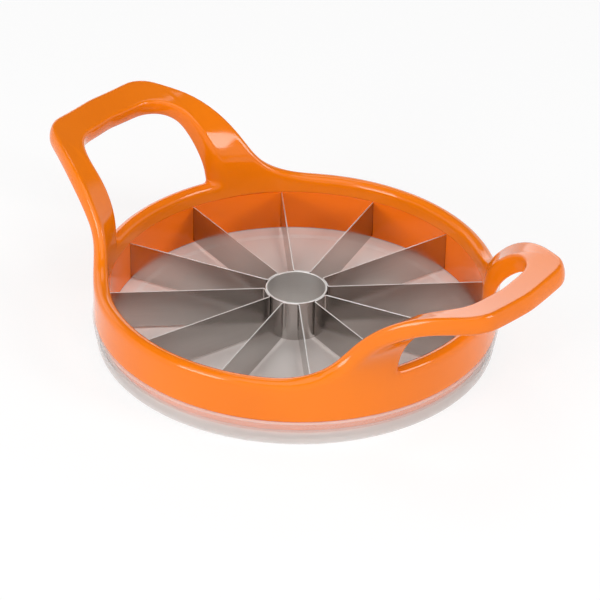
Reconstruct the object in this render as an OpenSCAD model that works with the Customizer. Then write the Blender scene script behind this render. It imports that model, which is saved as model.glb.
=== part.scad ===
// Melon slicer: a moulded ring with two loop handles holds six folded steel strips round a coring tube,
// and stands in a shallow dish that guards the cutting edges.
// Frame: +Z up, origin on the table under the middle of the ring, +X towards one handle.

/* [Ring] */
// Outer diameter of the moulded ring
ring_d = 240; // [210:1:280]
// Thickness of the ring's wall at its rim
ring_wall = 9; // [8.5:0.1:11]
// Height of the rim above the blades' tops
rim_rise = 11; // [8:0.5:16]
// Rounding of the rim's two edges
rim_round = 4.2; // [2:0.1:4.2]

/* [Handles] */
// Width of the hand opening at the rim
opening_w = 88; // [80:0.5:96]
// Width of the hand opening under the grip
opening_top_w = 78.5; // [70:0.5:86]
// Length of the hand opening, measured up the handle
opening_len = 59; // [50:0.5:68]
// Rounding of the opening's corners under the grip
opening_round = 22; // [8:1:24]
// Width of the grip
grip_w = 22; // [18:0.5:26]
// Thickness of the grip
grip_t = 11; // [9:0.5:13]
// Length of the grip's outer edge between its unrounded corners
grip_len = 81; // [72:0.5:90]
// Rounding of the grip's outer corners
grip_round = 19.5; // [10:0.5:26]
// How far the grip bows out in the middle
grip_bow = 3.3; // [0:0.1:5]
// How far the grip dips in the middle
grip_dip = 2; // [0:0.1:4]
// Rounding along the edges of the handle
edge_round = 2.8; // [1.5:0.1:4]
// Angle at which the opening's sides lean at the rim, the opening being wider on the inside
opening_lean = 26.5; // [0:0.5:35]
// Width of each leg at the rim, before the sweep is rounded
leg_w = 30; // [27:0.5:35]
// How far each leg's outer edge bows out between the rim and the grip
leg_bow = 3.5; // [0:0.1:6]
// Angle round the ring from the middle of the grip to the start of the sweep up into the leg
sweep_angle = 59.5; // [56:0.5:66]
// Upright length of the leg before it bends out
leg_rise = 8.5; // [4:0.5:12]
// Radius of the outward bend
bend_r = 37.5; // [30:0.5:48]
// Angle of the grip from upright
flare = 76.5; // [50:0.5:80]

/* [Blades] */
// Outer diameter of the coring tube
hub_d = 36.5; // [30:0.5:45]
// Wall of the coring tube
hub_wall = 1; // [0.6:0.1:1.5]
// How far the coring tube reaches below the blades
hub_drop = 1.2; // [0:0.1:1.5]
// Height of the blades
blade_h = 24.4; // [18:0.1:32]
// Thickness of the blades
blade_t = 0.7; // [0.4:0.1:1.2]
// Height of the ground bevel along the lower edge
bevel_h = 4; // [2:0.5:8]
// Thickness left at the cutting edge
edge_t = 0.15; // [0.1:0.05:0.3]
// Radius of the folds beside the coring tube, to the middle of the strip
fold_r = 1.5; // [1:0.1:3]
// Depth of the slots that hold the blades' ends
slot_depth = 2.5; // [1.5:0.1:2.6]
// Height of the floor under each slot
slot_floor = 0.8; // [0.5:0.1:1.5]

/* [Base cover] */
// Height of the cover's wall
cover_h = 16; // [13:0.5:20]
// Thickness of the cover's wall
cover_wall = 2; // [1.5:0.1:2.2]
// How far the lip at the top of the wall stands proud of the ring
lip_out = 1; // [0.5:0.1:1.5]
// How far the wall leans in from its lip to its foot
cover_draft = 2.8; // [1:0.1:4]
// Height of the floor above the table
floor_h = 4.6; // [3:0.1:7]
// Thickness of the floor
floor_t = 2; // [1.5:0.1:2.5]
// Width of the foot the cover stands on
foot_w = 3; // [2:0.1:5]
// Width of the raised band that shows inside the ring
band_w = 8; // [4:0.5:14]
// Height of the raised band
band_h = 0.6; // [0.3:0.1:1]

/* [Fits] */
// Gap between the ring's shoulder and the top of the cover
seat_gap = 0.2; // [0.1:0.05:0.5]
// Height of the ring's spigot inside the cover
spigot_h = 7.5; // [3:0.5:9]
// Wall of the spigot at its end
spigot_wall = 1.8; // [1.4:0.1:2.2]
// Gap round the spigot
spigot_gap = 0.4; // [0.3:0.05:0.8]
// Gap between the blade ring and the floor's band
floor_gap = 0.5; // [0.3:0.1:1.5]
// Gap round the blade ring in its pocket
pocket_gap = 0.15; // [0.1:0.05:0.3]
// Gap on each side of a blade in its slot
slot_gap = 0.1; // [0.05:0.01:0.2]
// Gap between the folded strips and the coring tube
weld_gap = 0.05; // [0.04:0.01:0.1]

/* [Hidden] */

orange = [0.93, 0.42, 0.05];
inner_orange = [0.85, 0.36, 0.05];
steel = [0.70, 0.69, 0.68];
milky = [0.86, 0.84, 0.83];
$fn = 96;

// Each strip is a pair of spokes, and the spokes are evenly spread
strip_count = 6;
strip_pitch = 360 / strip_count;
half_v = strip_pitch / 4;

// Heights, from the table up
band_z = floor_h + band_h;
ring_foot_z = band_z + floor_gap;
blade_z = ring_foot_z + slot_floor;
blade_top_z = blade_z + blade_h;
seam_z = blade_top_z + slot_gap;
rim_z = seam_z + rim_rise;
shoulder_z = cover_h + seat_gap;
spigot_z = shoulder_z - spigot_h;

// Radii, from the outside in
ring_r = ring_d / 2;
bore_r = ring_r - ring_wall;
mid_r = (ring_r + bore_r) / 2;
spigot_top_r = cover_in(cover_h) - spigot_gap;
spigot_r = cover_in(spigot_z) - spigot_gap;
pocket_r = spigot_r - spigot_wall;
blade_end_r = bore_r + slot_depth - slot_gap;
band_r = bore_r - band_w;
hub_r = hub_d / 2;
strip_r = hub_r + weld_gap + blade_t / 2;

// Small moulded roundings
lip_round = min(1.2, 0.6 * cover_wall);
cover_round = 0.3;
foot_round = 1;
hem_round = 0.8;
spigot_round = 0.5;

// The legs grow out of the rim a little below its top and reach down into the ring's solid part
root_sink = 1.5;
root_z = rim_z - root_sink;
leg_foot = root_z - (seam_z + rim_z) / 2;
leg_inset = 0.25;
leg_t = ring_wall - 2 * leg_inset;

// Steps along the handle's outline and round its section
sweep_steps = 9;
leg_steps = 4;
corner_steps = 8;
grip_steps = 4;
face_steps = 4;
round_steps = 3;

function unit(v) = v / norm(v);
function clamp(v, low, high) = min(max(v, low), high);
function ease(t) = let (u = clamp(t, 0, 1)) u * u * (3 - 2 * u);
function turned(v, a) = [v.x * cos(a) - v.y * sin(a), v.x * sin(a) + v.y * cos(a)];
function between(a, b, n) = [for (i = [1:n - 1]) a + (b - a) * i / n];
function polar(r, a) = [r * cos(a), r * sin(a)];

function half_angle(a, b, c) = acos(unit(a - b) * unit(c - b)) / 2;

// Arc of radius r that rounds the corner at b between a and c
function corner(a, b, c, r, n) =
    let (
        u = unit(a - b),
        v = unit(c - b),
        half = half_angle(a, b, c),
        centre = b + unit(u + v) * r / sin(half),
        start = b + u * r / tan(half) - centre,
        end = b + v * r / tan(half) - centre,
        sweep = sign(cross(start, end)) * (180 - 2 * half)
    )
    [for (i = [0:n]) centre + turned(start, sweep * i / n)];

// Closed outline from [x, y, rounding] corners
function rounded(pts, n = 8) =
    let (count = len(pts), xy = [for (p = pts) [p.x, p.y]])
    [for (i = [0:count - 1])
        each pts[i].z > 0
            ? corner(xy[(i + count - 1) % count], xy[i], xy[(i + 1) % count], pts[i].z, n)
            : [xy[i]]];

// Triangles of a tube of `rings` rings with `sides` points each, closed at both ends by strips across it
function tube_faces(rings, sides) = concat(
    [for (i = [0:rings - 2], j = [0:sides - 1])
        let (a = i * sides + j, b = i * sides + (j + 1) % sides)
        each [[a, b, b + sides], [a, b + sides, a + sides]]],
    [for (j = [0:sides / 2 - 2])
        let (a = j, b = j + 1, c = sides - 2 - j, d = sides - 1 - j)
        each [[a, d, c], [a, c, b]]],
    [for (j = [0:sides / 2 - 2])
        let (last = (rings - 1) * sides, a = last + j, b = a + 1, c = last + sides - 2 - j, d = c + 1)
        each [[a, b, c], [a, c, d]]]);

// Outside and inside of the cover's leaning wall
function cover_out(z) = ring_r + lip_out - cover_draft * (1 - z / cover_h);
function cover_in(z) = cover_out(z) - cover_wall;

module base_cover() {
    color(milky)
        rotate_extrude()
            polygon(rounded([
                [0, floor_h - floor_t, 0],
                [cover_out(0) - foot_w - floor_h + floor_t, floor_h - floor_t, 0],
                [cover_out(0) - foot_w, 0, 0],
                [cover_out(0), 0, foot_round],
                [cover_out(cover_h), cover_h, lip_round],
                [cover_in(cover_h), cover_h, cover_round],
                [cover_in(band_z), band_z, foot_round],
                [band_r, band_z, 0],
                [band_r - band_h, floor_h, 0],
                [0, floor_h, 0]]));
}

// Wall of the handle as a sheet: s runs up it from the rim, y across it and n out of its middle
function bend_at(s) = clamp((s - leg_rise) / bend_r * 180 / PI, 0, flare);
function past_bend(s) = max(s - leg_rise - bend_r * flare * PI / 180, 0);
function sheet_x(s) = mid_r + bend_r * (1 - cos(bend_at(s))) + past_bend(s) * sin(flare);
function sheet_z(s) = root_z + min(s, leg_rise) + bend_r * sin(bend_at(s)) + past_bend(s) * cos(flare);

// The sheet is round about the ring's axis at the rim and straight across at the grip
function sheet(y, s, n) =
    let (
        a = bend_at(s),
        rise = ease(s / (opening_len + grip_w)),
        curve = (1 - rise) / (mid_r + n),
        sag = curve * y * y / (1 + sqrt(1 - pow(curve * y, 2))),
        lift = grip_dip * rise * pow(y / (grip_len / 2), 2)
    )
    [sheet_x(s) + n * cos(a) - sag, y, sheet_z(s) - n * sin(a) + lift];

// Half outlines of the opening and the outer edge on the sheet, as [y, s] from rim to grip middle
opening_root = [opening_w / 2, 0];
opening_corner = [opening_top_w / 2, opening_len];
opening_mid = [0, opening_len + grip_bow];
sweep_start = [mid_r * sin(sweep_angle), 0];
outer_root = [opening_w / 2 + leg_w, 0];
outer_corner = [grip_len / 2, opening_len + grip_w];
outer_mid = [0, opening_len + grip_w + grip_bow];
sweep_r = norm(sweep_start - outer_root) * tan(half_angle(sweep_start, outer_root, outer_corner));
sweep_arc = corner(sweep_start, outer_root, outer_corner, sweep_r, sweep_steps);
outer_arc = corner(outer_root, outer_corner, outer_mid, grip_round, corner_steps);
opening_arc = corner(opening_root, opening_corner, opening_mid, opening_round, corner_steps);
function bowed(q) =
    let (
        leg = outer_corner - outer_root,
        share = clamp((q - outer_root) * leg / (leg * leg), 0, 1)
    )
    q + leg_bow * pow(sin(180 * share), 2) * unit([leg.y, -leg.x]);
outer_half = concat(
    [[sweep_arc[0].x, -leg_foot]],
    [for (q = sweep_arc) bowed(q)],
    [for (q = between(sweep_arc[sweep_steps], outer_arc[0], leg_steps)) bowed(q)],
    [for (q = outer_arc) bowed(q)],
    between(outer_arc[corner_steps], outer_mid, grip_steps),
    [outer_mid]);
opening_half = concat(
    [[opening_root.x, -leg_foot], opening_root],
    between(opening_root, opening_arc[0], sweep_steps + leg_steps),
    opening_arc,
    between(opening_arc[corner_steps], opening_mid, grip_steps),
    [opening_mid]);

// Half of a rounded section of length l and thickness t, from the opening's edge to the outer edge
function half_section(l, t) =
    let (r = edge_round)
    concat(
        [for (i = [0:round_steps])
            let (a = 90 * i / round_steps)
            [r - r * cos(a), t / 2 - r + r * sin(a)]],
        [for (i = [1:face_steps - 1]) [r + (l - 2 * r) * i / face_steps, t / 2]],
        [for (i = [0:round_steps])
            let (a = 90 * i / round_steps)
            [l - r + r * sin(a), t / 2 - r + r * cos(a)]]);

// One section of the handle, from the opening's point p to the outer point q, on the side given by way
function handle_section(p, q, way) =
    let (
        l = norm(q - p),
        t = leg_t + (grip_t - leg_t) * ease((p.y + q.y) / 2 / opening_len),
        half = half_section(l, t),
        last = len(half) - 1,
        loop = concat(half, [for (i = [last:-1:0]) [half[i].x, -half[i].y]]),
        lean = tan(opening_lean) * (1 - ease(p.y / opening_len))
    )
    [for (w = loop)
        let (
            share = w.x / l,
            at = p + (q - p) * (share - w.y * lean * (1 - share) / l)
        )
        sheet(way * at.x, at.y, w.y)];

module handle() {
    mid = len(outer_half) - 1;
    sections = concat(
        [for (i = [0:mid]) handle_section(opening_half[i], outer_half[i], -1)],
        [for (i = [mid - 1:-1:0]) handle_section(opening_half[i], outer_half[i], 1)]);
    polyhedron(
        points = [for (ring = sections) each ring],
        faces = tube_faces(len(sections), len(sections[0])),
        convexity = 6);
}

module frame() {
    color(orange) {
        rotate_extrude()
            polygon(rounded([
                [spigot_r, spigot_z, spigot_round],
                [spigot_top_r, shoulder_z, 0],
                [ring_r, shoulder_z, hem_round],
                [ring_r, rim_z, rim_round],
                [bore_r, rim_z, rim_round],
                [bore_r, seam_z + slot_gap, 0],
                [pocket_r, seam_z + slot_gap, 0],
                [pocket_r, spigot_z, spigot_round]]));
        handle();
        rotate([0, 0, 180]) handle();
    }
}

module blade_ring() {
    color(inner_orange)
        difference() {
            rotate_extrude()
                polygon([
                    [bore_r, ring_foot_z],
                    [pocket_r - pocket_gap, ring_foot_z],
                    [pocket_r - pocket_gap, seam_z],
                    [bore_r, seam_z]]);
            for (i = [0:2 * strip_count - 1])
                rotate([0, 0, half_v + i * strip_pitch / 2])
                    translate([bore_r - ring_wall, -blade_t / 2 - slot_gap, blade_z - slot_gap])
                        cube([ring_wall + slot_depth, blade_t + 2 * slot_gap, 2 * blade_h]);
        }
}

// The tube is ground to an edge on its inside
module hub_tube() {
    color(steel)
        rotate_extrude()
            polygon([
                [hub_r - hub_wall, blade_top_z],
                [hub_r - hub_wall, blade_z - hub_drop + bevel_h],
                [hub_r - edge_t, blade_z - hub_drop],
                [hub_r, blade_z - hub_drop],
                [hub_r, blade_top_z]]);
}

// Plan of a folded strip as [point, sideways direction], in along one spoke and out along the next
fold_a = asin(fold_r / (strip_r + fold_r));
fold_steps = 4;
hub_steps = 6;
function fold_point(a) =
    let (
        centre = polar(strip_r + fold_r, half_v - fold_a),
        out = polar(1, half_v + 90 + a)
    )
    [centre + fold_r * out, -out];
strip_half = concat(
    [[polar(blade_end_r, half_v), polar(-1, half_v + 90)]],
    [for (i = [0:fold_steps]) fold_point(i * (90 - fold_a) / fold_steps)]);
strip_path = concat(
    strip_half,
    [for (i = [1:hub_steps - 1])
        let (a = (half_v - fold_a) * (1 - 2 * i / hub_steps))
        [polar(strip_r, a), polar(1, a)]],
    [for (i = [len(strip_half) - 1:-1:0])
        let (p = strip_half[i])
        [[p[0].x, -p[0].y], [p[1].x, -p[1].y]]]);

// Section of the strip as [sideways, height], ground to an edge below
strip_section = [
    [edge_t / 2, blade_z],
    [blade_t / 2, blade_z + bevel_h],
    [blade_t / 2, blade_top_z],
    [-blade_t / 2, blade_top_z],
    [-blade_t / 2, blade_z + bevel_h],
    [-edge_t / 2, blade_z]];

module blade(number) {
    color(steel)
        rotate([0, 0, (number - 1) * strip_pitch])
            polyhedron(
                points = [for (p = strip_path, w = strip_section)
                    [p[0].x + p[1].x * w.x, p[0].y + p[1].y * w.x, w.y]],
                faces = tube_faces(len(strip_path), len(strip_section)),
                convexity = 4);
}

base_cover();
frame();
blade_ring();
hub_tube();
blade(1);  // blade_1
blade(2);  // blade_2
blade(3);  // blade_3
blade(4);  // blade_4
blade(5);  // blade_5
blade(6);  // blade_6
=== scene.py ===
import math

import bmesh
import bpy
from mathutils import Matrix, Vector


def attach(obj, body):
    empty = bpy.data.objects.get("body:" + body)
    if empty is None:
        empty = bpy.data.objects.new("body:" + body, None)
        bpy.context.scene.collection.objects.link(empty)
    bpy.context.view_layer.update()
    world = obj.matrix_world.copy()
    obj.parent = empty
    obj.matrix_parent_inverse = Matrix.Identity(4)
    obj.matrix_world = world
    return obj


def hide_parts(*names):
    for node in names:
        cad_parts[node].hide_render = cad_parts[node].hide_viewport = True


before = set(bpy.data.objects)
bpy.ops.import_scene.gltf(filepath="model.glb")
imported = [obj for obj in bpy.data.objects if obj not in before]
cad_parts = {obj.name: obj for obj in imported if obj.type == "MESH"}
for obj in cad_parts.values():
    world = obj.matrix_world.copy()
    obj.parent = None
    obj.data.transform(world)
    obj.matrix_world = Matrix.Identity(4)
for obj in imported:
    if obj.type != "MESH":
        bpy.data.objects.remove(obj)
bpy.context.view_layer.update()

scene = bpy.context.scene

# Sizes in millimetres, the same as the part's source; meshes are shrunk to metres when they are finished
MM = 0.001
RING_R, BORE_R = 120.0, 111.0
MID_R = (RING_R + BORE_R) / 2
RIM_Z, SEAM_Z, SHOULDER_Z, SPIGOT_Z = 42.0, 31.0, 16.2, 8.7
SPIGOT_R, SPIGOT_TOP_R, POCKET_R = 117.32, 118.6, 115.52
RIM_ROUND, EDGE_ROUND, EDGE_CROWN = 4.2, 2.3, math.radians(20)
ROOT_Z = 40.5
LEG_RISE, BEND_R, FLARE = 8.5, 37.5, math.radians(76.5)
OPENING_W, OPENING_TOP_W, OPENING_LEN, OPENING_ROUND = 88.0, 78.5, 59.0, 22.0
OPENING_LEAN = math.tan(math.radians(26.5))
GRIP_W, GRIP_T, GRIP_LEN, GRIP_ROUND, GRIP_BOW, GRIP_DIP = 22.0, 11.0, 81.0, 19.5, 3.3, 2.0
LEG_W, LEG_BOW, SWEEP_R = 30.0, 3.5, 34.0
# Height up the leg over which the rim's rounding turns into the handle's
ROUND_BLEND = 40.0
HUB_R, HUB_WALL, HUB_DROP = 18.25, 1.0, 1.2
BLADE_Z, BLADE_TOP_Z, BLADE_T, EDGE_T, BEVEL_H = 6.5, 30.9, 0.7, 0.15, 4.0
BLADE_END_R, FOLD_R, WELD_GAP, SLOT_GAP, SLOT_DEPTH = 113.4, 1.5, 0.05, 0.1, 2.5
RING_FOOT_Z, POCKET_GAP = 5.7, 0.15
COVER_H, COVER_WALL, COVER_DRAFT, LIP_OUT = 16.0, 2.0, 2.8, 1.0
FLOOR_H, FLOOR_T, FOOT_W, BAND_W, BAND_H = 4.6, 2.0, 3.0, 8.0, 0.6
STRIPS = 6
# Points closer than this are joined into one
JOIN_DIST = 0.004


def ease(t):
    """Soft step from 0 to 1."""
    u = min(max(t, 0.0), 1.0)
    return u * u * (3 - 2 * u)


def rounded_corner(a, b, c, radius, steps):
    """Points of the arc that rounds the corner at b between a and c."""
    a, b, c = Vector(a), Vector(b), Vector(c)
    u, v = (a - b).normalized(), (c - b).normalized()
    half = u.angle(v) / 2
    centre = b + (u + v).normalized() * radius / math.sin(half)
    start = b + u * radius / math.tan(half) - centre
    end = b + v * radius / math.tan(half) - centre
    turn = math.copysign(math.pi - 2 * half, start.x * end.y - start.y * end.x)
    return [centre + Matrix.Rotation(turn * i / steps, 2) @ start for i in range(steps + 1)]


def rounded_outline(corners, steps=5):
    """Closed outline from (x, y, rounding) corners."""
    points = []
    for i, (x, y, radius) in enumerate(corners):
        if radius:
            before, after = corners[i - 1], corners[(i + 1) % len(corners)]
            points += rounded_corner(before[:2], (x, y), after[:2], radius, steps)
        else:
            points.append(Vector((x, y)))
    return points


def spread(a, b, steps, bunch=1.0):
    """Points from a to b without a itself, closer together near a where bunch is above 1."""
    a, b = Vector(a), Vector(b)
    return [a.lerp(b, (i / steps) ** bunch) for i in range(1, steps + 1)]


def section_loop(bm, points, closed=True):
    """Edges through (radius, height) points in the upright plane through +X."""
    verts = [bm.verts.new((p[0], 0.0, p[1])) for p in points]
    pairs = zip(verts, verts[1:] + verts[:1] if closed else verts[1:])
    return [bm.edges.new(pair) for pair in pairs]


def turned(bm, edges, angle, steps, centre=(0, 0, 0)):
    """Spins a loop of edges about an upright axis and returns the loop at its far end."""
    parts = edges + list(dict.fromkeys(v for e in edges for v in e.verts))
    last = bmesh.ops.spin(bm, geom=parts, cent=centre, axis=(0, 0, 1), angle=angle, steps=steps)["geom_last"]
    return [e for e in last if isinstance(e, bmesh.types.BMEdge)]


def finished(bm, name, body, node, material, sharp_angle=None, levels=0):
    """Makes the millimetre mesh a smooth piece in metres that stands for its CAD node."""
    bmesh.ops.remove_doubles(bm, verts=bm.verts, dist=JOIN_DIST)
    bmesh.ops.recalc_face_normals(bm, faces=bm.faces)
    bmesh.ops.scale(bm, vec=(MM, MM, MM), verts=bm.verts)
    for f in bm.faces:
        f.smooth = True
    if sharp_angle:
        for e in bm.edges:
            e.smooth = e.calc_face_angle(0.0) < math.radians(sharp_angle)
    mesh = bpy.data.meshes.new(name)
    bm.to_mesh(mesh)
    bm.free()
    mesh.materials.append(material)
    piece = bpy.data.objects.new(name, mesh)
    scene.collection.objects.link(piece)
    if levels:
        rounding = piece.modifiers.new("rounding", "SUBSURF")
        rounding.levels = rounding.render_levels = levels
    else:
        flat = piece.modifiers.new("flat_faces", "WEIGHTED_NORMAL")
        flat.keep_sharp = True
    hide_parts(node)
    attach(piece, body)
    return piece


# Materials


def linear(hex_colour):
    """sRGB hex to linear RGBA."""
    values = [int(hex_colour[i:i + 2], 16) / 255 for i in (1, 3, 5)]
    return tuple(v / 12.92 if v <= 0.04045 else ((v + 0.055) / 1.055) ** 2.4 for v in values) + (1.0,)


def new_material(name):
    material = bpy.data.materials.new(name)
    material.use_nodes = True
    material.node_tree.nodes.clear()
    return material


def add(material, kind, links=None, settings=None, **values):
    """Adds a node, sets its settings and input values, and links inputs to (node, output name)."""
    tree = material.node_tree
    node = tree.nodes.new(kind)
    for key, value in (settings or {}).items():
        setattr(node, key, value)
    for key, value in values.items():
        node.inputs[key.replace("_", " ")].default_value = value
    for key, (source, output) in (links or {}).items():
        tree.links.new(source.outputs[output], node.inputs[key])
    return node


def ramp(node, stops):
    """Sets a colour ramp's stops from (place, colour) pairs."""
    elements = node.color_ramp.elements
    while len(elements) < len(stops):
        elements.new(0.5)
    for element, (place, colour) in zip(elements, stops):
        element.position, element.color = place, colour


def per_metre(size_mm):
    """Texture scale on Object coordinates for a feature of this size."""
    return 1 / (size_mm * MM)


def grey(v):
    return (v, v, v, 1.0)


def moulded_orange(name, deep, light):
    """ABS, injection moulded in a polished tool: even glossy colour with faint flow clouds, tiny
    unevenness that softens reflections, and slightly duller patches from handling."""
    m = new_material(name)
    place = add(m, "ShaderNodeTexCoord")
    clouds = add(m, "ShaderNodeTexNoise", {"Vector": (place, "Object")}, Scale=per_metre(70), Detail=2.0)
    colour = add(m, "ShaderNodeValToRGB", {"Fac": (clouds, "Fac")})
    ramp(colour, [(0.3, linear(deep)), (0.7, linear(light))])
    handling = add(m, "ShaderNodeTexNoise", {"Vector": (place, "Object")}, Scale=per_metre(22), Detail=4.0)
    gloss = add(m, "ShaderNodeMapRange", {"Value": (handling, "Fac")}, To_Min=0.08, To_Max=0.14)
    ripple = add(m, "ShaderNodeTexNoise", {"Vector": (place, "Object")}, Scale=per_metre(9), Detail=1.0)
    grain = add(m, "ShaderNodeTexNoise", {"Vector": (place, "Object")}, Scale=per_metre(0.8), Detail=2.0)
    slow = add(m, "ShaderNodeBump", {"Height": (ripple, "Fac")}, Strength=0.05, Distance=0.5 * MM)
    fine = add(m, "ShaderNodeBump", {"Height": (grain, "Fac"), "Normal": (slow, "Normal")},
               Strength=0.04, Distance=0.05 * MM)
    skin = add(m, "ShaderNodeBsdfPrincipled",
               {"Base Color": (colour, "Color"), "Roughness": (gloss, "Result"),
                "Normal": (fine, "Normal")}, IOR=1.42)
    add(m, "ShaderNodeOutputMaterial", {"Surface": (skin, "BSDF")})
    return m


def satin_steel(name):
    """Stainless steel strip, rolled and satin ground along its length: grey mirror blurred by fine
    level streaks, with cloudy patches where it was handled. The cut top edges are duller and paler,
    and so is the tube's bore, a little less; the bore's paler colour is painted light on its shaded inside."""
    m = new_material(name)
    place = add(m, "ShaderNodeTexCoord")
    # Streaks about 25 mm long; the real grit is finer than a pixel, so they are drawn 0.35 mm wide
    lay = add(m, "ShaderNodeMapping", {"Vector": (place, "Object")},
              Scale=(per_metre(25), per_metre(25), per_metre(0.35)))
    streaks = add(m, "ShaderNodeTexNoise", {"Vector": (lay, "Vector")}, Scale=1.0, Detail=3.0)
    clouds = add(m, "ShaderNodeTexNoise", {"Vector": (place, "Object")}, Scale=per_metre(28), Detail=3.0)
    colour = add(m, "ShaderNodeValToRGB", {"Fac": (streaks, "Fac")})
    ramp(colour, [(0.25, linear("#BFBBB8")), (0.75, linear("#C8C4C1"))])
    dull = add(m, "ShaderNodeMath", {0: (clouds, "Fac"), 1: (streaks, "Fac")}, {"operation": "ADD"})
    gloss = add(m, "ShaderNodeMapRange", {"Value": (dull, "Value")},
                From_Min=0.6, From_Max=1.4, To_Min=0.15, To_Max=0.22)
    parts = add(m, "ShaderNodeSeparateXYZ", {"Vector": (place, "Object")})
    # 1 on the cut top edges, 0 on the ground faces
    edge = add(m, "ShaderNodeMapRange", {"Value": (parts, "Z")},
               From_Min=(BLADE_TOP_Z - 0.35) * MM, From_Max=(BLADE_TOP_Z - 0.2) * MM)
    cut = add(m, "ShaderNodeMapRange", {"Value": (edge, "Result"), "To Min": (gloss, "Result")}, To_Max=0.45)
    level = add(m, "ShaderNodeMapping", {"Vector": (place, "Object")}, Scale=(1, 1, 0))
    reach = add(m, "ShaderNodeVectorMath", {0: (level, "Vector")}, {"operation": "LENGTH"})
    # The tube's bore, parted from its outside in the middle of the wall
    bore_r, outside_r = (HUB_R - 0.7) * MM, (HUB_R - 0.4) * MM
    # Mask of the bore, whose paler colour is painted light that brightens its shaded inside
    inside = add(m, "ShaderNodeMapRange", {"Value": (reach, "Value")},
                 From_Min=bore_r, From_Max=outside_r, To_Min=0.6, To_Max=0.0)
    pale_edges_and_painted_bore = add(m, "ShaderNodeMath", {0: (edge, "Result"), 1: (inside, "Result")}, {"operation": "MAXIMUM"})
    tone = add(m, "ShaderNodeMixRGB", {"Fac": (pale_edges_and_painted_bore, "Value"), "Color1": (colour, "Color")},
               Color2=linear("#F0EEEC"))
    bore = add(m, "ShaderNodeMapRange", {"Value": (reach, "Value"), "To Max": (cut, "Result")},
               From_Min=bore_r, From_Max=outside_r, To_Min=0.4)
    scratch = add(m, "ShaderNodeBump", {"Height": (streaks, "Fac")}, Strength=0.006, Distance=0.02 * MM)
    skin = add(m, "ShaderNodeBsdfPrincipled",
               {"Base Color": (tone, "Color"), "Roughness": (bore, "Result"),
                "Normal": (scratch, "Normal")}, Metallic=1.0)
    add(m, "ShaderNodeOutputMaterial", {"Surface": (skin, "BSDF")})
    return m


def milky_cover(name):
    """Natural polypropylene, moulded with a fine satin texture: milky white, tinted warm as painted bounce
    light from the orange ring. The floor hides what is under it. What stands behind the wall shows
    through, most of all at the thin lip round the ring's spigot."""
    m = new_material(name)
    place = add(m, "ShaderNodeTexCoord")
    clouds = add(m, "ShaderNodeTexNoise", {"Vector": (place, "Object")}, Scale=per_metre(60), Detail=2.0)
    colour = add(m, "ShaderNodeValToRGB", {"Fac": (clouds, "Fac")})
    # Milky white with a warm tint that is painted bounce light from the orange ring
    ramp(colour, [(0.3, linear("#F2ECE8")), (0.7, linear("#F6F1ED"))])
    satin = add(m, "ShaderNodeTexNoise", {"Vector": (place, "Object")}, Scale=per_metre(0.7), Detail=2.0)
    gloss = add(m, "ShaderNodeMapRange", {"Value": (satin, "Fac")}, To_Min=0.3, To_Max=0.42)
    texture = add(m, "ShaderNodeBump", {"Height": (satin, "Fac")}, Strength=0.08, Distance=0.05 * MM)
    parts = add(m, "ShaderNodeSeparateXYZ", {"Vector": (place, "Object")})
    height = add(m, "ShaderNodeMapRange", {"Value": (parts, "Z")}, From_Max=COVER_H * MM)
    wall = add(m, "ShaderNodeValToRGB", {"Fac": (height, "Result")})
    # Wall, thin lip and the lip's thicker edge
    ramp(wall, [(0.59, grey(0.44)), (0.61, grey(0.24)), (0.93, grey(0.24)), (0.96, grey(0.38))])
    level = add(m, "ShaderNodeMapping", {"Vector": (place, "Object")}, Scale=(1, 1, 0))
    reach = add(m, "ShaderNodeVectorMath", {0: (level, "Vector")}, {"operation": "LENGTH"})
    floor = add(m, "ShaderNodeMapRange", {"Value": (reach, "Value")},
                From_Min=BORE_R * MM, From_Max=(BORE_R + 2) * MM, To_Min=1.0, To_Max=0.0)
    cover = add(m, "ShaderNodeMath", {0: (wall, "Color"), 1: (floor, "Result")}, {"operation": "MAXIMUM"})
    skin = add(m, "ShaderNodeBsdfPrincipled",
               {"Base Color": (colour, "Color"), "Roughness": (gloss, "Result"),
                "Normal": (texture, "Normal"), "Alpha": (cover, "Value")}, IOR=1.49)
    add(m, "ShaderNodeOutputMaterial", {"Surface": (skin, "BSDF")})
    return m


orange = moulded_orange("orange_abs_moulded", "#F17906", "#F77F08")
# The inner ring's copy of the orange is painted redder and brighter: painted bounce light from the orange
# walls round it
orange_with_painted_bounce = moulded_orange("inner_orange_abs_moulded", "#FD7304", "#FF7705")
steel = satin_steel("stainless_steel_satin")
milky = milky_cover("natural_polypropylene_satin")


# Moulded frame: the ring's wall swept up into two loop handles


def wall_point(y, s, n):
    """Point on the handle's wall: y across it, s up it from the rim and n out of its middle."""
    bend = min(max((s - LEG_RISE) / BEND_R, 0.0), FLARE)
    past = max(s - LEG_RISE - BEND_R * FLARE, 0.0)
    x = MID_R + BEND_R * (1 - math.cos(bend)) + past * math.sin(FLARE) + n * math.cos(bend)
    z = ROOT_Z + min(s, LEG_RISE) + BEND_R * math.sin(bend) + past * math.cos(FLARE) - n * math.sin(bend)
    rise = ease(s / (OPENING_LEN + GRIP_W))
    curve = (1 - rise) / (MID_R + n)
    sag = curve * y * y / (1 + math.sqrt(max(1 - (curve * y) ** 2, 0.0)))
    lift = GRIP_DIP * rise * (y / (GRIP_LEN / 2)) ** 2
    return Vector((x - sag, y, z + lift))


def round_edge(thickness, radius, crown=0.0, steps=3):
    """(depth from the edge, place across the wall) over a rounded edge, from the outer face to the
    inner one. Between its corners the edge is crowned: it starts tilted by the crown angle and is level
    in the middle."""
    half = thickness / 2
    turn = [(math.pi / 2 - crown) * i / steps for i in range(steps + 1)]
    outer = [(radius - radius * math.sin(a), half - radius + radius * math.cos(a)) for a in turn]
    middle = outer[-1][0] - outer[-1][1] * math.tan(crown / 2)
    outer = [(d - middle, n) for d, n in outer]
    return outer + [(0.0, 0.0)] + [(d, -n) for d, n in reversed(outer)]


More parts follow.
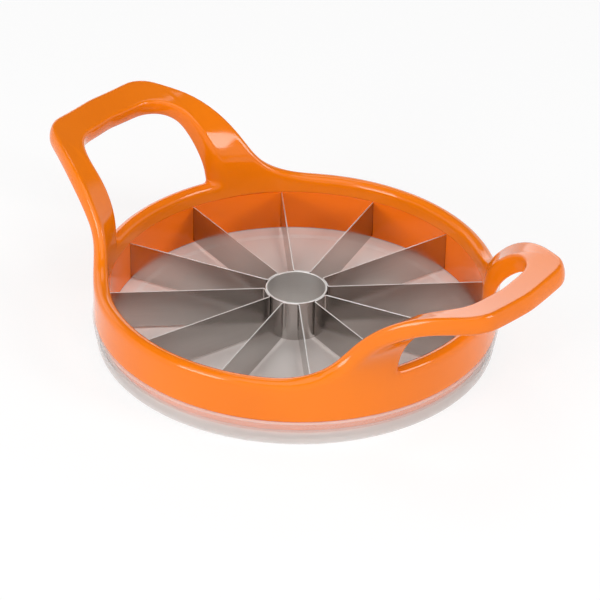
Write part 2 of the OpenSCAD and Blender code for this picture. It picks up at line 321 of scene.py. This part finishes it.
def edge_normals(chain, first, last, side):
    """Directions in the sheet that point out of the material, along a chain of edge points."""
    normals = []
    for i in range(len(chain)):
        along = chain[min(i + 1, len(chain) - 1)] - chain[max(i - 1, 0)]
        normals.append(Vector((along.y, -along.x)).normalized() * side)
    normals[0], normals[-1] = first, last
    return normals


def moulded_frame():
    rim_s = RIM_Z - ROOT_Z
    outer_root = Vector((OPENING_W / 2 + LEG_W, 0))
    outer_corner = Vector((GRIP_LEN / 2, OPENING_LEN + GRIP_W))
    outer_mid = Vector((0, OPENING_LEN + GRIP_W + GRIP_BOW))
    leg = outer_corner - outer_root
    opening_root = Vector((OPENING_W / 2, 0))
    opening_corner = Vector((OPENING_TOP_W / 2, OPENING_LEN))
    opening_mid = Vector((0, OPENING_LEN + GRIP_BOW))
    opening_root = opening_root.lerp(opening_corner, rim_s / OPENING_LEN)

    def bowed(q):
        """Point of the handle's outer edge, moved out by the leg's bow."""
        share = min(max((q - outer_root).dot(leg) / leg.dot(leg), 0.0), 1.0)
        return q + Vector((leg.y, -leg.x)).normalized() * LEG_BOW * math.sin(math.pi * share) ** 2

    # Edges of the handle in the sheet, from the rim to the middle of the grip
    rim_corner = outer_root.lerp(outer_corner, rim_s / outer_corner.y)
    sweep_steps, leg_steps, arc_steps, grip_steps = 12, 6, 9, 5
    sweep = rounded_corner((RING_R, rim_s), rim_corner, outer_corner, SWEEP_R, sweep_steps)
    # The leg's own edge starts at this point of the sweep
    foot = 8
    grip_arc = rounded_corner(outer_root, outer_corner, outer_mid, GRIP_ROUND, arc_steps)
    opening_arc = rounded_corner(opening_root, opening_corner, opening_mid, OPENING_ROUND, arc_steps)
    outer = (sweep[foot:] + spread(sweep[-1], grip_arc[0], leg_steps)
             + grip_arc[1:] + spread(grip_arc[-1], outer_mid, grip_steps))
    outer = [bowed(q) for q in outer]
    sweep = [bowed(q) for q in sweep]
    opening = ([opening_root]
               + spread(opening_root, opening_arc[0], sweep_steps - foot + leg_steps, bunch=1.3)
               + opening_arc[1:] + spread(opening_arc[-1], opening_mid, grip_steps))
    sweep_out = edge_normals(sweep, Vector((0, 1)), Vector((1, 0)), 1)
    outer_out = edge_normals(outer, sweep_out[foot], Vector((0, 1)), 1)
    opening_out = edge_normals(opening, Vector((-1, 1)), Vector((0, -1)), -1)

    # Columns of the ring's wall over a quarter turn: rim under the opening, leg, sweep, and the rest of
    # the rim
    rim_edge = round_edge(RING_R - BORE_R, RIM_ROUND)
    # Places across the rim under the opening, closer together towards the leg
    rim_places = (0, 9, 18, 26, 33, 38)
    columns = [(Vector((y, rim_s)), Vector((0, 1))) for y in rim_places]
    root = len(columns)
    columns.append((opening_root, opening_out[0]))
    # The leg's own columns lie between its two edges
    leg_columns = 9
    columns += [None] * (leg_columns - 1)
    tip = len(columns)
    columns += [(sweep[i], sweep_out[i]) for i in range(foot, -1, -1)]
    swept = len(columns) - 1
    last_angle = math.asin(sweep[0].x / MID_R)
    rest_steps = 9
    rest = [last_angle + (math.pi / 2 - last_angle) * i / rest_steps for i in range(1, rest_steps + 1)]
    columns += [(Vector((MID_R * math.sin(a), rim_s)), Vector((0, 1))) for a in rest]

    def on_edge(column, depth, n):
        """Point of a column at this depth under its edge, in the sheet; the opening's sides lean."""
        if root < column < tip:
            return on_edge(root, depth, n).lerp(on_edge(tip, depth, n), (column - root) / (tip - root))
        edge, out = columns[column]
        lean = OPENING_LEAN if column == root else 0.0
        return edge - out * depth - Vector((lean * n, 0))

    def turn_at(column, radius):
        """Angle round the ring: the columns near the handle keep the same y through the wall, the others
        are radial."""
        y = on_edge(column, RIM_ROUND, 0.0).x
        if column <= swept:
            return math.asin(y / radius)
        share = (column - swept) / (len(columns) - 1 - swept)
        last = on_edge(swept, RIM_ROUND, 0.0).x
        drift = math.asin(last / radius) - math.asin(last / MID_R)
        return math.asin(min(y / MID_R, 1.0)) + (1 - share) * drift

    # Rows of the ring's section, from the spigot up the outside, over the rim and down the inside; rows
    # close to a corner keep it crisp when the mesh is rounded
    chamfer, taper = 0.4, 0.07
    low_edge, low_mid = 0.9, 0.22
    pocket_top, pocket_mid, wall_top = SEAM_Z + SLOT_GAP, 21.0, 35.0
    outside = [(SPIGOT_R - chamfer, SPIGOT_Z), (SPIGOT_R + taper, SPIGOT_Z + chamfer),
               (SPIGOT_TOP_R - taper, SHOULDER_Z - chamfer), (SPIGOT_TOP_R, SHOULDER_Z),
               (SPIGOT_TOP_R + 0.2, SHOULDER_Z), (RING_R - low_edge, SHOULDER_Z),
               (RING_R - low_mid, SHOULDER_Z + low_mid), (RING_R, SHOULDER_Z + low_edge)]
    outside += [(RING_R, z) for z in (20.0, 25.5, SEAM_Z, wall_top)]
    inside = [(BORE_R, wall_top), (BORE_R, SEAM_Z + 0.7), (BORE_R, pocket_top), (BORE_R + 0.6, pocket_top),
              (POCKET_R - 0.5, pocket_top), (POCKET_R, pocket_top), (POCKET_R, SEAM_Z - 0.5),
              (POCKET_R, pocket_mid), (POCKET_R, SPIGOT_Z + chamfer), (POCKET_R + chamfer, SPIGOT_Z)]
    over = [(MID_R + n, RIM_Z - d) for d, n in rim_edge]
    rows = outside + over + inside
    first, end = len(outside), len(outside) + len(over) - 1

    bm = bmesh.new()
    row_of = bm.verts.layers.int.new("row")
    column_of = bm.verts.layers.int.new("column")
    front = section_loop(bm, rows)
    for i, v in enumerate(bm.verts):
        v[row_of] = i
    for column in range(1, len(columns)):
        made = bmesh.ops.extrude_edge_only(bm, edges=front)["geom"]
        front = [g for g in made if isinstance(g, bmesh.types.BMEdge) and all(v in made for v in g.verts)]
        for v in made:
            if isinstance(v, bmesh.types.BMVert):
                v[column_of] = column

    for v in bm.verts:
        row, column = v[row_of], v[column_of]
        if first <= row <= end and column <= swept:
            depth, n = rim_edge[row - first]
            y, s = on_edge(column, depth, n)
            v.co = wall_point(y, s, n)
            continue
        radius, z = rows[row]
        if SEAM_Z < z < RIM_Z - RIM_ROUND:
            s_foot = on_edge(column, RIM_ROUND, 0.0).y
            z = SEAM_Z + (z - SEAM_Z) * (ROOT_Z + s_foot - SEAM_Z) / (RIM_Z - RIM_ROUND - SEAM_Z)
        turn = turn_at(column, radius)
        v.co = (radius * math.cos(turn), radius * math.sin(turn), z)

    # The leg grows out of its columns of the rim, one section after another
    cap = [f for f in bm.faces
           if all(first <= v[row_of] <= end and root <= v[column_of] <= tip for v in f.verts)]
    for p, p_out, q, q_out in list(zip(opening, opening_out, outer, outer_out))[1:]:
        made = bmesh.ops.extrude_face_region(bm, geom=cap)["geom"]
        bmesh.ops.delete(bm, geom=cap, context="FACES")
        cap = [g for g in made if isinstance(g, bmesh.types.BMFace)]
        height = (p.y + q.y) / 2
        thickness = RING_R - BORE_R + (GRIP_T - RING_R + BORE_R) * ease(height / OPENING_LEN)
        radius = RIM_ROUND + (EDGE_ROUND - RIM_ROUND) * ease(height / ROUND_BLEND)
        section = round_edge(thickness, radius, EDGE_CROWN * ease(height / ROUND_BLEND))
        lean = OPENING_LEAN * (1 - ease(p.y / OPENING_LEN))
        for v in made:
            if not isinstance(v, bmesh.types.BMVert):
                continue
            depth, n = section[v[row_of] - first]
            share = (v[column_of] - root) / (tip - root)
            if 0 < share < 1:
                depth = section[0][0]
            at = (p - p_out * (depth - lean * n)).lerp(q - q_out * depth, share)
            v.co = wall_point(at.x, at.y, n)
    bmesh.ops.delete(bm, geom=cap, context="FACES")

    for axis in ("Y", "X"):
        bmesh.ops.mirror(bm, geom=bm.verts[:] + bm.edges[:] + bm.faces[:], axis=axis, merge_dist=0.01)
    return finished(bm, "moulded_frame", "slicer", "frame", orange, levels=1)


moulded_frame()


# Inner ring with the slots that hold the blades' ends


def slotted_ring():
    bm = bmesh.new()
    outer_r = POCKET_R - POCKET_GAP
    slot_w = BLADE_T + 2 * SLOT_GAP
    slot_turn = slot_w / BORE_R
    pitch = math.pi / STRIPS
    wedge_steps = 14
    edge, top_edge = 0.3, 0.2
    outline = rounded_outline([
        (BORE_R, RING_FOOT_Z, edge), (outer_r, RING_FOOT_Z, edge), (outer_r, SEAM_Z, edge),
        (BORE_R, SEAM_Z, top_edge), (BORE_R, BLADE_Z - SLOT_GAP, 0)], 3)
    loop = section_loop(bm, outline)
    start = Matrix.Rotation(pitch / 2 + slot_turn / 2, 3, "Z")
    bmesh.ops.rotate(bm, verts=bm.verts, cent=(0, 0, 0), matrix=start)
    for i in range(2 * STRIPS):
        loop = turned(bm, loop, pitch - slot_turn, wedge_steps)
        loop = turned(bm, loop, slot_turn, 1)
    bmesh.ops.remove_doubles(bm, verts=bm.verts, dist=JOIN_DIST)
    # The faces of the bore in front of each spoke are sunk into the wall
    on_bore = BORE_R + 0.02
    slots = []
    for f in bm.faces:
        middle = f.calc_center_median()
        turn = math.atan2(middle.y, middle.x) / pitch - 0.5
        at_spoke = abs(turn - round(turn)) * pitch < slot_turn / 4
        if at_spoke and math.hypot(middle.x, middle.y) < on_bore and middle.z > BLADE_Z:
            slots.append(f)
    made = bmesh.ops.extrude_face_region(bm, geom=slots)["geom"]
    bmesh.ops.delete(bm, geom=slots, context="FACES")
    for v in made:
        if isinstance(v, bmesh.types.BMVert):
            spoke = (round(math.atan2(v.co.y, v.co.x) / pitch - 0.5) + 0.5) * pitch
            v.co += Vector((math.cos(spoke), math.sin(spoke), 0)) * SLOT_DEPTH
    # The ring's orange is painted redder and brighter, as painted bounce light inside the frame
    return finished(bm, "slotted_ring", "slicer", "blade_ring", orange_with_painted_bounce,
                    sharp_angle=40)


slotted_ring()


# Coring tube, ground to an edge on its inside


def coring_tube():
    bm = bmesh.new()
    foot = BLADE_Z - HUB_DROP
    top_edge = 0.25
    loop = section_loop(bm, rounded_outline([
        (HUB_R - HUB_WALL, BLADE_TOP_Z, top_edge), (HUB_R - HUB_WALL, foot + BEVEL_H, 0),
        (HUB_R - EDGE_T, foot, 0), (HUB_R, foot, 0), (HUB_R, BLADE_TOP_Z, top_edge)], 3))
    turned(bm, loop, 2 * math.pi, steps=144)
    return finished(bm, "coring_tube", "slicer", "hub_tube", steel, sharp_angle=40)


coring_tube()


# Folded strips: in along one spoke, round the tube, out along the next


def drawn_along(bm, loop, way, reaches):
    """Draws a loop of edges along a spoke to each reach from the middle, and returns the loop at its end."""
    for reach in reaches:
        made = bmesh.ops.extrude_edge_only(bm, edges=loop)["geom"]
        moved = [g for g in made if isinstance(g, bmesh.types.BMVert)]
        bmesh.ops.translate(bm, vec=way * (reach - moved[0].co.dot(way)), verts=moved)
        loop = [g for g in made if isinstance(g, bmesh.types.BMEdge) and all(v in moved for v in g.verts)]
    return loop


def folded_strip(number):
    bm = bmesh.new()
    half_v = math.pi / STRIPS / 2
    strip_r = HUB_R + WELD_GAP + BLADE_T / 2
    fold = math.asin(FOLD_R / (strip_r + FOLD_R))
    side = BLADE_T / 2
    top_edge, edge_mid = 0.2, 0.06
    section = [(EDGE_T / 2, BLADE_Z), (side, BLADE_Z + BEVEL_H), (side, BLADE_TOP_Z - top_edge),
               (side - edge_mid, BLADE_TOP_Z - edge_mid), (side - top_edge, BLADE_TOP_Z)]
    section += [(-x, z) for x, z in reversed(section)]
    loop = section_loop(bm, section)
    # The section faces along the spoke at +15 degrees, with its near side towards the strip's own wedge
    facing = Matrix.Rotation(math.pi / 2 + half_v, 3, "Z")
    bmesh.ops.rotate(bm, verts=bm.verts, cent=(0, 0, 0), matrix=facing)
    spoke = Vector((math.cos(half_v), math.sin(half_v), 0))
    bmesh.ops.translate(bm, vec=spoke * BLADE_END_R, verts=bm.verts)
    bmesh.ops.contextual_create(bm, geom=loop)
    fold_centre = Vector((math.cos(half_v - fold), math.sin(half_v - fold), 0)) * (strip_r + FOLD_R)
    fold_start = fold_centre.dot(spoke)
    # Rows on the way along a blade
    on_the_way = (80.0, 50.0, 30.0)
    loop = drawn_along(bm, loop, spoke, on_the_way + (fold_start,))
    turn = math.pi / 2 - fold
    fold_steps, weld_steps = 6, 10
    loop = turned(bm, loop, turn, fold_steps, fold_centre)
    loop = turned(bm, loop, -2 * (half_v - fold), weld_steps)
    mirrored = Vector((fold_centre.x, -fold_centre.y, 0))
    loop = turned(bm, loop, turn, fold_steps, mirrored)
    back = Vector((spoke.x, -spoke.y, 0))
    loop = drawn_along(bm, loop, back, on_the_way[::-1] + (BLADE_END_R,))
    bmesh.ops.contextual_create(bm, geom=loop)
    place = Matrix.Rotation((number - 1) * 2 * math.pi / STRIPS, 3, "Z")
    bmesh.ops.rotate(bm, verts=bm.verts, cent=(0, 0, 0), matrix=place)
    return finished(bm, f"folded_strip_{number}", "slicer", f"blade_{number}", steel,
                    sharp_angle=25)


for number in range(1, STRIPS + 1):
    folded_strip(number)


# Base cover: a shallow dish that guards the edges


def cover_dish():
    def wall_r(z):
        """Outer radius of the wall at this height."""
        return RING_R + LIP_OUT - COVER_DRAFT * (1 - z / COVER_H)

    under_z = FLOOR_H - FLOOR_T
    foot_r = wall_r(0) - FOOT_W
    band_z = FLOOR_H + BAND_H
    band_r = BORE_R - BAND_W
    slope, slope_round = 3.0, 3.0
    bm = bmesh.new()
    loop = section_loop(bm, rounded_outline([
        (0, under_z, 0), (foot_r - under_z, under_z, 0.8), (foot_r, 0, 0.4), (wall_r(0), 0, 1.0),
        (wall_r(COVER_H), COVER_H, 1.2), (wall_r(COVER_H) - COVER_WALL, COVER_H, 0.3),
        (wall_r(band_z) - COVER_WALL, band_z, 1.0), (band_r, band_z, slope_round),
        (band_r - slope, FLOOR_H, slope_round), (0, FLOOR_H, 0)], 4), closed=False)
    turned(bm, loop, 2 * math.pi, steps=192)
    return finished(bm, "cover_dish", "base", "base_cover", milky, sharp_angle=40)


cover_dish()


# Camera at the photograph's angle


def studio_camera(azimuth, elevation, roll, distance, right_mm, up_mm, lens):
    """Camera that looks at the table under the ring's middle, with angles in degrees, moved sideways
    and up in its own view."""
    a, e, r = math.radians(azimuth), math.radians(elevation), math.radians(roll)
    back = Vector((math.sin(a) * math.cos(e), -math.cos(a) * math.cos(e), math.sin(e)))
    level = Vector((math.cos(a), math.sin(a), 0))
    upward = back.cross(level)
    right = level * math.cos(r) + upward * math.sin(r)
    up = upward * math.cos(r) - level * math.sin(r)
    place = (back * distance + right * right_mm + up * up_mm) * MM
    data = bpy.data.cameras.new("studio_camera")
    data.lens = lens
    data.sensor_width = 36.0
    camera = bpy.data.objects.new("studio_camera", data)
    camera.matrix_world = Matrix.Translation(place) @ Matrix((right, up, back)).transposed().to_4x4()
    scene.collection.objects.link(camera)
    scene.camera = camera


studio_camera(azimuth=39.568, elevation=32.302, roll=1.206, distance=1791.65, right_mm=2.656,
              up_mm=18.448, lens=180.0)


# White studio


def softbox(name, place, size, radiance):
    """Rectangular lamp aimed at the object, as bright as a surface of this radiance."""
    data = bpy.data.lights.new(name, "AREA")
    data.shape = "RECTANGLE"
    data.size, data.size_y = size
    data.energy = math.pi * size[0] * size[1] * radiance
    lamp = bpy.data.objects.new(name, data)
    lamp.location = place
    aim = Vector((0, 0, 0.04))
    lamp.rotation_euler = (aim - Vector(place)).to_track_quat("-Z", "Y").to_euler()
    scene.collection.objects.link(lamp)


softbox("key_softbox", (-0.28, -1.54, 1.3), (1.0, 1.0), 1.4)
softbox("front_softbox", (-0.32, -1.89, 0.6), (0.85, 0.65), 8.9)
softbox("right_softbox", (1.6, 0.42, 1.0), (0.7, 0.7), 9.3)
softbox("top_softbox", (0.58, -0.69, 1.75), (1.6, 1.6), 1.6)
softbox("back_card", (-1.45, 1.3, 0.56), (1.3, 0.9), 1.25)
softbox("far_top_softbox", (-0.5, 0.6, 1.85), (0.8, 0.8), 1.9)
softbox("left_back_card", (-1.84, 0.03, 1.0), (0.9, 0.9), 1.1)


def white_floor():
    """White paper; to the camera most of its white is its own, so that shadows on it stay faint. Under
    the cover it is plain, so that the milky wall stays grey."""
    m = new_material("white_paper")
    ray = add(m, "ShaderNodeLightPath")
    paper = add(m, "ShaderNodeBsdfDiffuse", Color=linear("#F2F1F1"))
    shaded = add(m, "ShaderNodeBsdfDiffuse", Color=grey(0.25))
    glow = add(m, "ShaderNodeEmission", Color=grey(0.77))
    faint = add(m, "ShaderNodeAddShader", {0: (shaded, "BSDF"), 1: (glow, "Emission")})
    shown = add(m, "ShaderNodeMath", {0: (ray, "Is Camera Ray"), 1: (ray, "Is Glossy Ray")},
                {"operation": "MAXIMUM"})
    place = add(m, "ShaderNodeTexCoord")
    reach = add(m, "ShaderNodeVectorMath", {0: (place, "Object")}, {"operation": "LENGTH"})
    clear = add(m, "ShaderNodeMath", {0: (reach, "Value")}, {"operation": "GREATER_THAN"})
    clear.inputs[1].default_value = (RING_R - COVER_DRAFT) * MM
    white = add(m, "ShaderNodeMath", {0: (shown, "Value"), 1: (clear, "Value")}, {"operation": "MULTIPLY"})
    seen = add(m, "ShaderNodeMixShader", {"Fac": (white, "Value"), 1: (paper, "BSDF"), 2: (faint, "Shader")})
    add(m, "ShaderNodeOutputMaterial", {"Surface": (seen, "Shader")})
    bm = bmesh.new()
    bmesh.ops.create_grid(bm, x_segments=1, y_segments=1, size=6.0)
    mesh = bpy.data.meshes.new("floor")
    bm.to_mesh(mesh)
    bm.free()
    mesh.materials.append(m)
    floor = bpy.data.objects.new("floor", mesh)
    scene.collection.objects.link(floor)


white_floor()


def studio_world():
    """White walls under a dark ceiling; the walls are dimmer as fill light than they look."""
    world = bpy.data.worlds.new("white_studio")
    world.use_nodes = True
    world.node_tree.nodes.clear()
    way = add(world, "ShaderNodeTexCoord")
    parts = add(world, "ShaderNodeSeparateXYZ", {"Vector": (way, "Generated")})
    walls = add(world, "ShaderNodeValToRGB", {"Fac": (parts, "Z")})
    ramp(walls, [(0.38, grey(1.0)), (0.5, grey(0.15))])
    ray = add(world, "ShaderNodeLightPath")
    seen = add(world, "ShaderNodeMath", {0: (ray, "Is Camera Ray"), 1: (ray, "Is Glossy Ray")},
               {"operation": "MAXIMUM"})
    shown = add(world, "ShaderNodeMath", {0: (seen, "Value"), 1: (ray, "Is Transmission Ray")},
                {"operation": "MAXIMUM"})
    level = add(world, "ShaderNodeMapRange", {"Value": (shown, "Value")}, To_Min=0.45, To_Max=1.0)
    light = add(world, "ShaderNodeBackground", {"Color": (walls, "Color"), "Strength": (level, "Result")})
    add(world, "ShaderNodeOutputWorld", {"Surface": (light, "Background")})
    scene.world = world


studio_world()

scene.view_settings.view_transform = "Standard"
